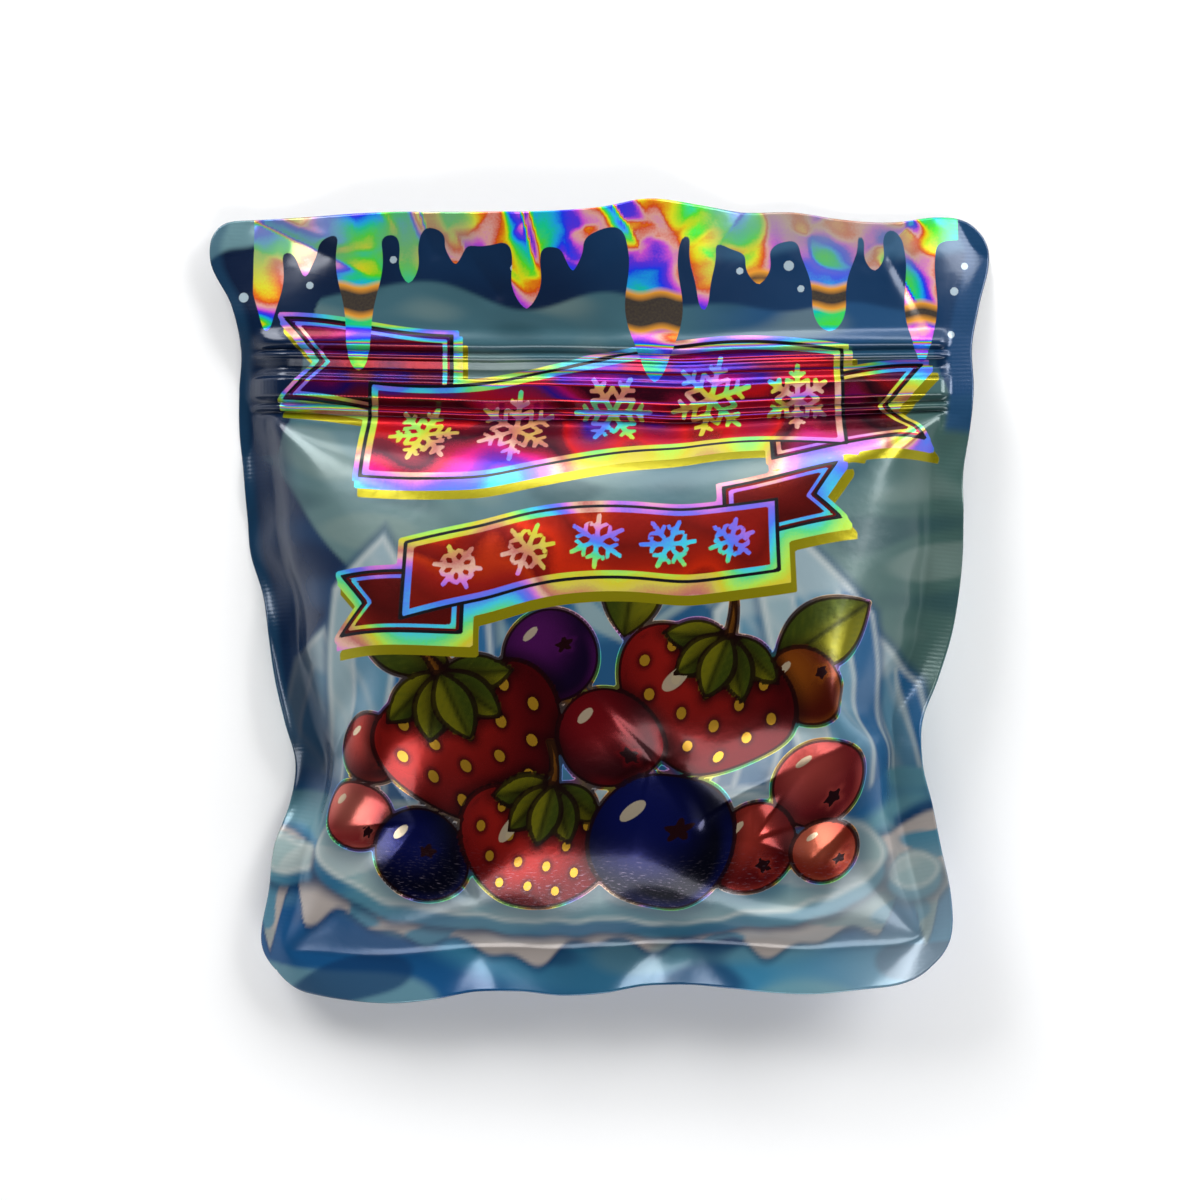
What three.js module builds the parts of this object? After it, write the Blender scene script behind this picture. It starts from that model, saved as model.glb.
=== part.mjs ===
// A shut, filled foil pouch lying on its back, with its printed front up. Two films are bonded down
// both sides and along the bottom, a press-to-close zip runs across the neck, and a flat header
// stands above the zip. It is one closed solid. Millimetres: X runs to the right across the front,
// Y towards the header and Z up, away from the floor.
import * as THREE from 'three';

// Die-cut edge, read at even steps. The sides run from the lower to the upper corners and give X.
// The bottom and the top run from left to right and give Y.
const LOWER_CORNERS = -59.8;
const UPPER_CORNERS = 61.1;
const LEFT_EDGE = [-53.9, -54.9, -53.6, -52.8, -50.5, -49.5, -51.1, -52.7, -53.8, -54.9,
  -57, -57.6, -58.2, -58.9, -58.9, -58.4, -59.8, -63.2, -63];
const RIGHT_EDGE = [55.3, 56.2, 56, 54.6, 53.2, 51.5, 51.5, 54.1, 56.3, 57.6,
  58.3, 58.4, 58.5, 59.6, 60.3, 60.3, 61.7, 63.5, 62.9];
const BOTTOM_EDGE = [-61.6, -63.5, -64.6, -65, -64.3, -62.9, -62.8, -63.6, -63.2,
  -61.8, -61.6, -62.4, -63.1, -63.2, -62.4, -61.5, -60.9];
const TOP_EDGE = [61.4, 61.9, 62.3, 62.6, 62.8, 62.7, 62.6, 62.8, 63.5,
  64.9, 64.2, 63.1, 63.1, 62, 61.5, 62.4, 62];
// How far in from the bottom and top edges their own waves are still felt
const EDGE_REACH = 22;
// Rounded corners: how far along both edges each one is felt
const CORNERS = [
  { right: false, upper: false, reach: 6.5 },
  { right: true, upper: false, reach: 10 },
  { right: false, upper: true, reach: 4 },
  { right: true, upper: true, reach: 5.8 },
];

// Bonds between the two films
const BONDED_FILMS = 0.6;
const SIDE_SEAL = 5.2;
const BOTTOM_SEAL = 6.5;
const ZIP_LOW = 29.5;
const ZIP_HIGH = 43;

// Height of the bonds above the floor, where the belly of the filled body lifts them
const SIDE_LIFT = 5.5;
const BOTTOM_LIFT = 7.6;
const ZIP_LIFT = 4.4;
const HEADER_LIFT = 5.2;
const ZIP_SLOPE = 24;
const BOTTOM_SLOPE = 18;

// Filled body: the top of its crown, and where along the pouch that is
const CROWN = 19.6;
const CROWN_LEVEL = -21;
const ACROSS_FULLNESS = 3.6;
const ALONG_FULLNESS = 2.4;
// The back's rounded wall meets the floor this far inside the bond
const FLOOR_REACH = 7.5;

// Waves of the bonded edges, and the puckers that run from them into the body
const SEAL_WAVE = 1.3;
const SEAL_PITCH = 19;
const PUCKER = 0.9;
const PUCKER_REACH = 15;
const HEADER_WAVE = 1.5;
const HEADER_PITCH = 58;
const TOP_HUMP = 12;

// Ribs of the zip, pressed out through both films: level, width and height
const ZIP_RIBS = [
  { level: 31.2, width: 2.4, height: 0.5 },
  { level: 34.8, width: 3.6, height: 0.9 },
  { level: 39.6, width: 2.4, height: 0.5 },
];

// Dents in the filled front: place, radius and depth
const DENTS = [
  { x: -30, y: -36, radius: 13, depth: 1.6 },
  { x: 4.5, y: -24, radius: 12, depth: 1.3 },
  { x: 24, y: -33, radius: 13, depth: 1.6 },
];

// Grid steps, by band
const SEAL_STEPS = 2;
const WIDTH_STEPS = 40;
const BANDS = [
  { from: LOWER_CORNERS, to: LOWER_CORNERS + BOTTOM_SEAL, steps: 3 },
  { from: LOWER_CORNERS + BOTTOM_SEAL, to: ZIP_LOW, steps: 24 },
  { from: ZIP_LOW, to: ZIP_HIGH, steps: 12 },
  { from: ZIP_HIGH, to: UPPER_CORNERS, steps: 7 },
];

const { clamp, lerp, smoothstep } = THREE.MathUtils;

// A smooth curve through values at even steps
function edgeCurve(values) {
  const last = values.length - 1;
  return new THREE.SplineCurve(values.map((value, i) => new THREE.Vector2(i / last, value)));
}

const leftEdge = edgeCurve(LEFT_EDGE);
const rightEdge = edgeCurve(RIGHT_EDGE);
const bottomEdge = edgeCurve(BOTTOM_EDGE);
const topEdge = edgeCurve(TOP_EDGE);

// The levels of the grid's rows, from the lower to the upper corners
function rowLevels() {
  const levels = [LOWER_CORNERS];
  for (const { from, to, steps } of BANDS) {
    for (let step = 1; step <= steps; step += 1) {
      levels.push(lerp(from, to, step / steps));
    }
  }
  return levels;
}

// The X of each crossing of one row: even steps in each side seal and between them
function rowCrossings(left, right) {
  const crossings = [];
  for (let step = 0; step < SEAL_STEPS; step += 1) {
    crossings.push(left + (SIDE_SEAL * step) / SEAL_STEPS);
  }
  for (let step = 0; step <= WIDTH_STEPS; step += 1) {
    crossings.push(lerp(left + SIDE_SEAL, right - SIDE_SEAL, step / WIDTH_STEPS));
  }
  for (let step = 1; step <= SEAL_STEPS; step += 1) {
    crossings.push(right - SIDE_SEAL + (SIDE_SEAL * step) / SEAL_STEPS);
  }
  return crossings;
}

// Full at the edge and gone at the reach
function fading(distance, reach) {
  return 1 - smoothstep(distance, 0, reach);
}

// How far a crossing is drawn in at a corner, along X and along Y. A square corner becomes the
// parabola that leaves both of its edges at the reach, with smaller ones nested inside it.
function cornerDraw(x, level, left, right) {
  const draw = { x: 0, y: 0 };
  for (const corner of CORNERS) {
    const beside = corner.right ? right - x : x - left;
    const ahead = corner.upper ? UPPER_CORNERS - level : level - LOWER_CORNERS;
    const reach = Math.max(corner.reach - Math.min(beside, ahead), 1e-6);
    const amount = (reach / 4) * clamp(1 - Math.abs(beside - ahead) / reach, 0, 1) ** 2;
    draw.x += corner.right ? -amount : amount;
    draw.y += corner.upper ? -amount : amount;
  }
  return draw;
}

// Where a crossing lies in plan, and how it stands to the bonds around it
function crossing(x, level, left, right) {
  const share = (x - left) / (right - left);
  const lowWave = bottomEdge.getPoint(share).y - LOWER_CORNERS;
  const highWave = topEdge.getPoint(share).y - UPPER_CORNERS;
  const draw = cornerDraw(x, level, left, right);
  const y = level + lowWave * fading(level - LOWER_CORNERS, EDGE_REACH)
    + highWave * fading(UPPER_CORNERS - level, EDGE_REACH) + draw.y;
  const sideInset = Math.min(x - left, right - x) - SIDE_SEAL;
  const bottomInset = level - LOWER_CORNERS - BOTTOM_SEAL;
  const halfWidth = (right - left) / 2 - SIDE_SEAL;
  return { x: x + draw.x, y, level, sideInset, bottomInset, halfWidth };
}

// Wave along a bonded edge
function wavePhase(length) {
  return Math.sin((2 * Math.PI * length) / SEAL_PITCH);
}

// Height of the bonds' middle plane: low at the zip, lifted by the belly further down, wavy at the
// die-cut edge and across the header, which bulges up under the top edge's hump
function bondHeight({ x, level, sideInset, bottomInset }) {
  const body = lerp(ZIP_LIFT, SIDE_LIFT, smoothstep(ZIP_LOW - level, 0, ZIP_SLOPE));
  const bottom = (BOTTOM_LIFT - SIDE_LIFT) * fading(bottomInset, BOTTOM_SLOPE);
  const header = (HEADER_LIFT - ZIP_LIFT) * smoothstep(level, ZIP_LOW, ZIP_HIGH);
  const headerWave = HEADER_WAVE * smoothstep(level, ZIP_HIGH, UPPER_CORNERS)
    * Math.cos((2 * Math.PI * (x - TOP_HUMP)) / HEADER_PITCH);
  const sideEdge = clamp(-sideInset / SIDE_SEAL, 0, 1) * smoothstep(ZIP_LOW - level, 0, ZIP_SLOPE);
  const bottomRim = clamp(-bottomInset / BOTTOM_SEAL, 0, 1);
  const wave = SEAL_WAVE * (sideEdge * wavePhase(level) + bottomRim * wavePhase(x));
  return body + bottom + header + headerWave + wave;
}

// Share of the crown's height: none at the bonds, full in the middle
function fullness({ level, sideInset, bottomInset, halfWidth }) {
  const across = clamp(sideInset / halfWidth, 0, 1);
  const bondToCrown = CROWN_LEVEL - LOWER_CORNERS - BOTTOM_SEAL;
  const below = bottomInset / bondToCrown;
  const above = (ZIP_LOW - level) / (ZIP_LOW - CROWN_LEVEL);
  const along = clamp(Math.min(below, above), 0, 1);
  return (1 - (1 - across) ** ACROSS_FULLNESS) * (1 - (1 - along) ** ALONG_FULLNESS);
}

// Sum of what the dents and the puckers take from the filled front
function hollows({ x, y, level, sideInset, bottomInset }) {
  let sum = 0;
  for (const dent of DENTS) {
    sum += dent.depth * fading(Math.hypot(x - dent.x, y - dent.y), dent.radius);
  }
  const side = fading(sideInset, PUCKER_REACH) * clamp(sideInset, 0, 1) * (1 - wavePhase(level));
  const low = fading(bottomInset, PUCKER_REACH) * clamp(bottomInset, 0, 1) * (1 - wavePhase(x));
  return sum + PUCKER * (side + low) / 2;
}

// What the zip's ribs add to each face
function zipRelief(level) {
  let sum = 0;
  for (const rib of ZIP_RIBS) {
    sum += rib.height * fading(Math.abs(level - rib.level), rib.width / 2);
  }
  return sum;
}

// Heights of the front and the back film at one crossing
function filmHeights(place) {
  const bond = bondHeight(place);
  const inset = Math.min(place.sideInset, place.bottomInset, ZIP_LOW - place.level);
  const relief = BONDED_FILMS / 2 + zipRelief(place.level);
  if (inset <= 0) {
    return { front: bond + relief, back: bond - relief };
  }
  const rise = (CROWN - bond) * fullness(place);
  const dented = Math.max(rise - hollows(place) * Math.min(1, rise / PUCKER / 2), 0);
  const wall = 1 - clamp(inset / FLOOR_REACH, 0, 1);
  const back = (bond - relief) * (1 - Math.sqrt(1 - wall ** 2));
  return { front: bond + relief + dented, back };
}

// Both films as one list of vertices: all of the front's, then all of the back's
function filmVertices(levels) {
  const front = [];
  const back = [];
  levels.forEach((level, row) => {
    const share = (level - LOWER_CORNERS) / (UPPER_CORNERS - LOWER_CORNERS);
    const left = leftEdge.getPoint(share).y;
    const right = rightEdge.getPoint(share).y;
    for (const x of rowCrossings(left, right)) {
      const place = crossing(x, level, left, right);
      const heights = filmHeights(place);
      front.push(place.x, place.y, heights.front);
      back.push(place.x, place.y, heights.back);
    }
  });
  return [...front, ...back];
}

// Grid numbers of the die-cut edge, once round, seen from above against the clock
function edgeLoop(rows, columns) {
  const loop = [];
  for (let column = 0; column < columns - 1; column += 1) loop.push(column);
  for (let row = 0; row < rows - 1; row += 1) loop.push(row * columns + columns - 1);
  for (let column = columns - 1; column > 0; column -= 1) loop.push((rows - 1) * columns + column);
  for (let row = rows - 1; row > 0; row -= 1) loop.push(row * columns);
  return loop;
}

// Triangles of both films and of the narrow band of film edge that closes them
function pouchFaces(rows, columns) {
  const faces = [];
  const backStart = rows * columns;
  for (let row = 0; row < rows - 1; row += 1) {
    for (let column = 0; column < columns - 1; column += 1) {
      const a = row * columns + column;
      const b = a + 1;
      const c = b + columns;
      const d = a + columns;
      faces.push(a, b, c, a, c, d);
      faces.push(backStart + a, backStart + c, backStart + b);
      faces.push(backStart + a, backStart + d, backStart + c);
    }
  }
  const loop = edgeLoop(rows, columns);
  loop.forEach((start, i) => {
    const end = loop[(i + 1) % loop.length];
    faces.push(backStart + start, backStart + end, end);
    faces.push(backStart + start, end, start);
  });
  return faces;
}

// The whole pouch, with its origin on the floor under the middle of its box
function pouchGeometry() {
  const levels = rowLevels();
  const columns = WIDTH_STEPS + 2 * SEAL_STEPS + 1;
  const geometry = new THREE.BufferGeometry();
  geometry.setAttribute('position', new THREE.Float32BufferAttribute(filmVertices(levels), 3));
  geometry.setIndex(pouchFaces(levels.length, columns));
  geometry.computeBoundingBox();
  const { min, max } = geometry.boundingBox;
  geometry.translate(-(min.x + max.x) / 2, -(min.y + max.y) / 2, -min.z);
  geometry.computeVertexNormals();
  return geometry;
}

const printedFoil = new THREE.MeshStandardMaterial({
  color: 0x4f8299,
  roughness: 0.38,
  metalness: 0.45,
});

const pouch = new THREE.Mesh(pouchGeometry(), printedFoil);
pouch.name = 'pouch';

const part = new THREE.Group();
part.add(pouch);

export default part;
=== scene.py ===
import bpy
import numpy as np
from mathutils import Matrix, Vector


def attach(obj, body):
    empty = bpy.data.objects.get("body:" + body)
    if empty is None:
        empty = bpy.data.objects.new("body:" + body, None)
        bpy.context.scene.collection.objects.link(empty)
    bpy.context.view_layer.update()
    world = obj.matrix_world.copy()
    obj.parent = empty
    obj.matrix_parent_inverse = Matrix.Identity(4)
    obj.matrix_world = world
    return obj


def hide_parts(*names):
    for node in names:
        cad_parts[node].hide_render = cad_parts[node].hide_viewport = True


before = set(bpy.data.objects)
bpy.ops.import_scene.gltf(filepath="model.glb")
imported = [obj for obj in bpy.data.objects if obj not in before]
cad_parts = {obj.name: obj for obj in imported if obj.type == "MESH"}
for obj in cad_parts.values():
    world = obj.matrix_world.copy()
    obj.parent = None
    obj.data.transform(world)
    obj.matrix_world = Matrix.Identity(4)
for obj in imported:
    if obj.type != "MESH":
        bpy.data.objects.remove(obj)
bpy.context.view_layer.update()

# -------- the blank
# The pouch starts as two equal flat pieces of printed film, die-cut together after sealing.
# The cut runs in shallow waves down the sides and along the bottom. Film measures are in mm.
MM = 0.001
LOWER_CORNERS = -59.8
UPPER_CORNERS = 61.1
LEFT_EDGE = [-53.9, -54.9, -53.6, -52.8, -50.5, -49.5, -51.1, -52.7, -53.8, -54.9,
             -57, -57.6, -58.2, -58.9, -58.9, -58.4, -59.8, -63.2, -63]
RIGHT_EDGE = [55.3, 56.2, 56, 54.6, 53.2, 51.5, 51.5, 54.1, 56.3, 57.6,
              58.3, 58.4, 58.5, 59.6, 60.3, 60.3, 61.7, 63.5, 62.9]
BOTTOM_EDGE = [-61.6, -63.5, -64.6, -65, -64.3, -62.9, -62.8, -63.6, -63.2,
               -61.8, -61.6, -62.4, -63.1, -63.2, -62.4, -61.5, -60.9]
TOP_EDGE = [61.4, 61.9, 62.3, 62.6, 62.8, 62.7, 62.6, 62.8, 63.5,
            64.9, 64.2, 63.1, 63.1, 62, 61.5, 62.4, 62]
EDGE_REACH = 22
# Rounded corners, how far along both edges each is felt: lower left and right, upper left and right
CORNER_REACH = [6.5, 10.0, 4.0, 5.8]
SIDE_SEAL = 5.2
BOTTOM_SEAL = 6.5
ZIP_LOW = 29.5
ZIP_HIGH = 43
SEAL_CELLS = 16
WIDTH_CELLS = 240
# Grid rows by band: from, to, steps
BANDS = [(LOWER_CORNERS, LOWER_CORNERS + BOTTOM_SEAL, 16),
         (LOWER_CORNERS + BOTTOM_SEAL, ZIP_LOW, 176),
         (ZIP_LOW, ZIP_HIGH, 48),
         (ZIP_HIGH, UPPER_CORNERS, 48)]


def edge_at(stations, share):
    """Catmull-Rom curve through stations at even steps, its end stations doubled: on each stretch
    a cubic of the share of the way, with slopes of half the distance between the neighbours."""
    values = np.asarray(stations, float)
    last = len(values) - 1
    place = np.clip(share, 0, 1) * last
    start = np.clip(np.floor(place).astype(int), 0, last - 1)
    t = place - start
    before, here, there, after = (values[np.clip(start + k, 0, last)] for k in (-1, 0, 1, 2))
    return 0.5 * (2 * here + (there - before) * t + (2 * before - 5 * here + 4 * there - after) * t ** 2
                  + (3 * here - before - 3 * there + after) * t ** 3)


def ease(t):
    """3t^2 - 2t^3, held to 0..1."""
    t = np.clip(t, 0, 1)
    return t * t * (3 - 2 * t)


def fading(distance, reach):
    """One at no distance, nothing from the reach on."""
    return 1 - ease(distance / reach)


def banded(bands):
    """Even steps inside each band (from, to, steps), one list."""
    parts = [np.linspace(low, high, steps, endpoint=False) for low, high, steps in bands]
    return np.append(np.concatenate(parts), bands[-1][1])


def rounding(beside, ahead, reach):
    """Way in from both edges at a corner: reach / 4 times (1 - difference of the two distances /
    reach)^2, which turns a square corner into the parabola that leaves its edges at the reach.
    The reach is less by the nearer distance, so smaller parabolas nest inside."""
    reach = np.maximum(reach - np.minimum(beside, ahead), 1e-6)
    return reach / 4 * np.clip(1 - abs(beside - ahead) / reach, 0, 1) ** 2


def blank():
    """The flat cut film as a grid (row, column, xy), rows level, columns spread between the side
    edges, with the waves of the bottom and top edges fading inwards and the corners rounded."""
    level = banded(BANDS)[:, None]
    height = (level - LOWER_CORNERS) / (UPPER_CORNERS - LOWER_CORNERS)
    left, right = edge_at(LEFT_EDGE, height), edge_at(RIGHT_EDGE, height)
    across = banded([(0, 1, SEAL_CELLS), (1, 2, WIDTH_CELLS), (2, 3, SEAL_CELLS)])[None]
    inner = left + SIDE_SEAL + (right - left - 2 * SIDE_SEAL) * np.clip(across - 1, 0, 1)
    x = inner - SIDE_SEAL * np.clip(1 - across, 0, 1) + SIDE_SEAL * np.clip(across - 2, 0, 1)
    share = (x - left) / (right - left)
    low_wave = (edge_at(BOTTOM_EDGE, share) - LOWER_CORNERS) * fading(level - LOWER_CORNERS, EDGE_REACH)
    high_wave = (edge_at(TOP_EDGE, share) - UPPER_CORNERS) * fading(UPPER_CORNERS - level, EDGE_REACH)
    y = level + low_wave + high_wave
    below, above = level - LOWER_CORNERS, UPPER_CORNERS - level
    draws = [rounding(beside, ahead, reach) for (ahead, beside), reach in zip(
        ((below, x - left), (below, right - x), (above, x - left), (above, right - x)), CORNER_REACH)]
    x = x + draws[0] - draws[1] + draws[2] - draws[3]
    y = y + draws[0] + draws[1] - draws[2] - draws[3]
    return np.dstack([x, y])


cut = blank()
rows, columns = cut.shape[:2]

# -------- the filled form
# Both films are bonded at the sides and the bottom, and the zip and the header are pressed flat.
# The filling spreads the films and its weight rests on the back, so the seals draw in and pucker.
# Worked out as two sheets of stretch-free cells, settled from a coarse grid to finer ones.
# Filled volume in cubic mm, how hard a lack of it pushes, and the most it pushes in one step
FILLING = 122e3
FILLING_GAIN = 8.0
SPREAD = 0.035
# Fall in one step of the filled film and of all of it, and the share of speed that is kept
WEIGHT = 0.006
DROOP = 0.0004
CALM = 0.95
# Filling draws the films in. The flat films are this much larger across, round one level, and
# along, below the zip, so that the filled pouch comes out at its cut outline.
SLACK_ACROSS = 0.05
SLACK_ALONG = 0.03
SLACK_LEVEL = -17.0
SLACK_REACH = 30.0
# Height of the seals at the start, and how far the films bulge from there
FIRST_LIFT = 7.0
FIRST_BULGE = 4.0
# Rounds from coarse to fine: grid stride, steps, passes over the cells, stiffness
ROUNDS = [(16, 250, 6, 0.004), (8, 200, 6, 0.01), (4, 120, 6, 0.014), (2, 60, 5, 0.016)]
COARSEST = ROUNDS[0][0]
# Finger dents in the front: X, Y, radius and push
DENTS = [(-28, -35, 7, 0.12), (5, -24.5, 6, 0.10), (23, -34, 7, 0.12)]


def neighbours(grid_rows, grid_columns):
    """Pairs of slices that join each vertex to its neighbours, in groups that share no vertex,
    with the share of a stretch that each end takes up: half along the weave of the grid and
    less across its diagonals."""
    groups = []
    for k in (0, 1):
        wide, high = (grid_columns - k) // 2, (grid_rows - k) // 2
        groups.append((np.s_[:, :, k:k + 2 * wide:2], np.s_[:, :, k + 1:k + 2 * wide:2], 0.5))
        groups.append((np.s_[:, k:k + 2 * high:2], np.s_[:, k + 1:k + 2 * high:2], 0.5))
        for q in (0, 1):
            tall = (grid_rows - q) // 2
            a, b = slice(q, q + 2 * tall, 2), slice(q + 1, q + 2 * tall, 2)
            m, n = slice(k, k + 2 * wide, 2), slice(k + 1, k + 2 * wide, 2)
            groups.append((np.s_[:, a, m], np.s_[:, b, n], 0.35))
            groups.append((np.s_[:, a, n], np.s_[:, b, m], 0.35))
    return groups


def stiffen(films, share):
    """Takes a share of the fourth difference along rows and columns off each vertex."""
    for axis in (1, 2):
        line = films.swapaxes(axis, 1)
        curve = np.zeros_like(line)
        curve[:, 1:-1] = line[:, 2:] + line[:, :-2] - 2 * line[:, 1:-1]
        fourth = -2 * curve
        fourth[:, 1:] += curve[:, :-1]
        fourth[:, :-1] += curve[:, 1:]
        line -= share.swapaxes(axis, 1) * fourth


def outward(films):
    """Unit normals of both films: the cross product of the central differences, up for the front
    and down for the back."""
    along = np.gradient(films, axis=2)
    up = np.gradient(films, axis=1)
    normal = np.cross(along, up)
    normal /= np.maximum(np.linalg.norm(normal, axis=-1, keepdims=True), 1e-9)
    normal[1] *= -1
    return normal


def settle(films, flat, bonded, zip_rows, steps, passes, stiffness, pace):
    """Moves both films step by step: the filling pushes outward until its volume is reached, the
    weight pulls down, every cell keeps the lengths it was cut to, bonds stay together, and
    nothing goes below the floor. The zip's rows stay a shallow arc, because its tape is stiff."""
    links = [(a, b, np.linalg.norm(flat[a[1:]] - flat[b[1:]], axis=-1)[None, ..., None], share)
             for a, b, share in neighbours(*flat.shape[:2])]
    loose = ~bonded[..., None]
    cell = np.abs(np.gradient(flat[..., 0], axis=1) * np.gradient(flat[..., 1], axis=0))
    firm = stiffness * np.where(bonded, 2.0, 1.0)[None, ..., None]
    t = np.linspace(-1, 1, flat.shape[1])
    arc = np.stack([np.ones_like(t), t, t * t], 1)
    arc_fit = arc @ np.linalg.pinv(arc)
    speed = np.zeros_like(films)
    for _ in range(steps):
        held = ((films[0, ..., 2] - films[1, ..., 2]) * cell).sum()
        push = np.clip((FILLING - held) / FILLING * FILLING_GAIN, -1, 1) * SPREAD * pace
        speed += outward(films) * push * loose
        speed[..., 2] -= (WEIGHT * loose[..., 0] + DROOP) * pace
        speed *= CALM
        moved = films + speed
        for x, y, radius, depth in DENTS:
            moved[0, ..., 2] -= depth * pace * fading(np.hypot(flat[..., 0] - x, flat[..., 1] - y), radius)
        for _ in range(passes):
            for a, b, length, share in links:
                stretch = moved[b] - moved[a]
                reached = np.maximum(np.sqrt((stretch ** 2).sum(-1, keepdims=True)), 1e-9)
                stretch *= share * (1 - length / reached)
                moved[a] += stretch
                moved[b] -= stretch
            moved[:, bonded] = moved[:, bonded].mean(0)
            crossed = np.minimum(moved[0, ..., 2] - moved[1, ..., 2], 0) / 2
            moved[0, ..., 2] -= crossed
            moved[1, ..., 2] += crossed
            np.maximum(moved[..., 2], 0, out=moved[..., 2])
        stiffen(moved, firm)
        stiffen(moved, firm)
        height = moved[..., 2]
        height[:, zip_rows] += 0.5 * (height[:, zip_rows] @ arc_fit.T - height[:, zip_rows])
        speed = moved - films
        films = moved
    return films


def finer(films):
    """A new row and column halfway between each two, with the cubic through their neighbours."""
    for axis in (1, 2):
        line = np.moveaxis(films, axis, 0)
        wide = np.concatenate([2 * line[:1] - line[1:2], line, 2 * line[-1:] - line[-2:-1]])
        between = (9 * (wide[1:-2] + wide[2:-1]) - wide[:-3] - wide[3:]) / 16
        out = np.empty((2 * len(line) - 1,) + line.shape[1:])
        out[::2], out[1::2] = line, between
        films = np.moveaxis(out, 0, axis)
    return films


def to_outline(films, flat):
    """Slides the films in plan so that their edge lies on the cut outline: the shift of the edge
    is carried inwards as the bilinear blend of its four sides, less the corners counted twice."""
    shift = (flat[None] - films[..., :2]).mean(0)
    u = np.linspace(0, 1, shift.shape[1])[None, :, None]
    v = np.linspace(0, 1, shift.shape[0])[:, None, None]
    sides = (1 - u) * shift[:, :1] + u * shift[:, -1:] + (1 - v) * shift[:1] + v * shift[-1:]
    corners = ((1 - u) * (1 - v) * shift[0, 0] + u * (1 - v) * shift[0, -1]
               + (1 - u) * v * shift[-1, 0] + u * v * shift[-1, -1])
    films = films.copy()
    films[..., :2] += sides - corners
    return films


row_number, column_number = np.mgrid[:rows, :columns]
zip_row = (ZIP_LOW <= banded(BANDS)) & (banded(BANDS) <= ZIP_HIGH)
bonded = ((column_number <= SEAL_CELLS) | (column_number >= columns - 1 - SEAL_CELLS)
          | (row_number <= BANDS[0][2]) | (row_number >= BANDS[0][2] + BANDS[1][2]))

belly = np.exp(-((cut[..., 1] - SLACK_LEVEL) / SLACK_REACH) ** 2)
film = cut.copy()
film[..., 0] *= 1 + SLACK_ACROSS * belly
film[..., 1] -= np.maximum(ZIP_LOW - cut[..., 1], 0) * SLACK_ALONG
ripple = sum(np.sin(a * cut[..., 0] + b * cut[..., 1] + c)
             for a, b, c in ((0.9, 1.3, 0), (1.7, -0.8, 2), (-0.6, 2.1, 4))) * 0.03

films = None
for stride, steps, passes, stiffness in ROUNDS[:4]:
    part = np.s_[::stride, ::stride]
    flat, stuck = film[part], bonded[part]
    if films is None:
        bulge = np.where(stuck, 0.0, FIRST_BULGE)
        films = np.stack([np.dstack([flat, FIRST_LIFT + bulge]), np.dstack([flat, FIRST_LIFT - bulge])])
    else:
        films = finer(films)
    films[0, ..., 2] += np.where(stuck, 0, ripple[part])
    films[1, ..., 2] -= np.where(stuck, 0, np.roll(ripple, 3, 1)[part])
    films = settle(films, flat, stuck, zip_row[::stride], steps, passes, stiffness, stride / COARSEST)
while films.shape[1] < rows:
    films = finer(films)
films = to_outline(films, cut)

# -------- zip, folds and dents
# The press-to-close zip is welded between the films and shows through as level ribs and grooves.
# Handling has crumpled the header, dimpled the front over the hard fruit and turned the left
# seal back. All of it is pressed into the settled films.
px, py = cut[..., 0], cut[..., 1]
left_reach = px - px[:, :1]
right_reach = px[:, -1:] - px
SEAL_DROP = 4.6
SEAL_TURN = SIDE_SEAL + 2.8
HEADER_FOOT = 46
# Section through the zip from its foot up: level, height of the front film
ZIP_SECTION = [(29.3, 0), (30.3, -0.7), (31.1, 0.5), (31.9, -0.5), (32.6, 0), (33.2, 1.1), (35.7, 1.1),
               (36.3, 0), (37.7, -0.8), (39.2, -0.2), (39.7, 0.9), (40.5, -0.2), (41.7, 0.9), (44.4, 0)]
# Fold lines: from X, Y to X, Y, depth, reach to the right and to the left
HEADER_FOLDS = [(-13.2, 65, -10.2, 52.5, 0.9, 3.0, 1.3), (-29.5, 64, -26.8, 55, 0.8, 1.6, 3.2),
                (-55, 61, -37, 52.5, 0.7, 4.0, 2.5), (-17, 50, -24, 60, 0.5, 3.0, 3.0),
                (50, 60.5, 42.5, 53.5, 0.8, 2.4, 4.0), (24, 64, 17.5, 56, 0.6, 3.0, 3.0),
                (47.5, 55, 54, 43, 0.6, 2.0, 3.0), (2, 64, 6.5, 57, 0.5, 2.0, 3.5)]
FRONT_FOLDS = [(15, -32.5, 43, -18.5, 1.2, 3.0, 8.5), (6.5, -25, -3.5, -12, 0.7, 1.2, 4.0),
               (-38.5, -21, -44.5, -27, 0.6, 2.0, 3.0), (37, -12, 43.5, 4, 0.5, 3.0, 2.0),
               (33, -39, 39, -31, 0.5, 1.6, 3.5), (-20, -44, -28, -36, 0.4, 1.5, 3.0)]
# Crumpled points: X, Y, reach, depth, then angle and slope of each side
DIMPLES = [(-27, -34.8, 12, 0.6,
            [(-125, 0.02), (-60, 0.1), (20, -0.03), (118, 0.02), (150, -0.28), (186, -0.45)]),
           (6.2, -25, 9, 0.3,
            [(-150, -0.14), (-95, 0.12), (-50, -0.09), (30, 0.03), (127, 0.3)]),
           (22.5, -37, 8.5, 0.3,
            [(-120, 0.08), (-20, -0.12), (18, 0.2), (60, -0.22), (105, 0.14), (170, -0.1)])]


def ribbed(section):
    """Height by level: between two stations of the section an S-curve, level at both ends."""
    levels, heights = np.array(section, float).T
    here = np.clip(np.searchsorted(levels, py) - 1, 0, len(levels) - 2)
    share = ease((py - levels[here]) / (levels[here + 1] - levels[here]))
    return heights[here] + (heights[here + 1] - heights[here]) * share


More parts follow.
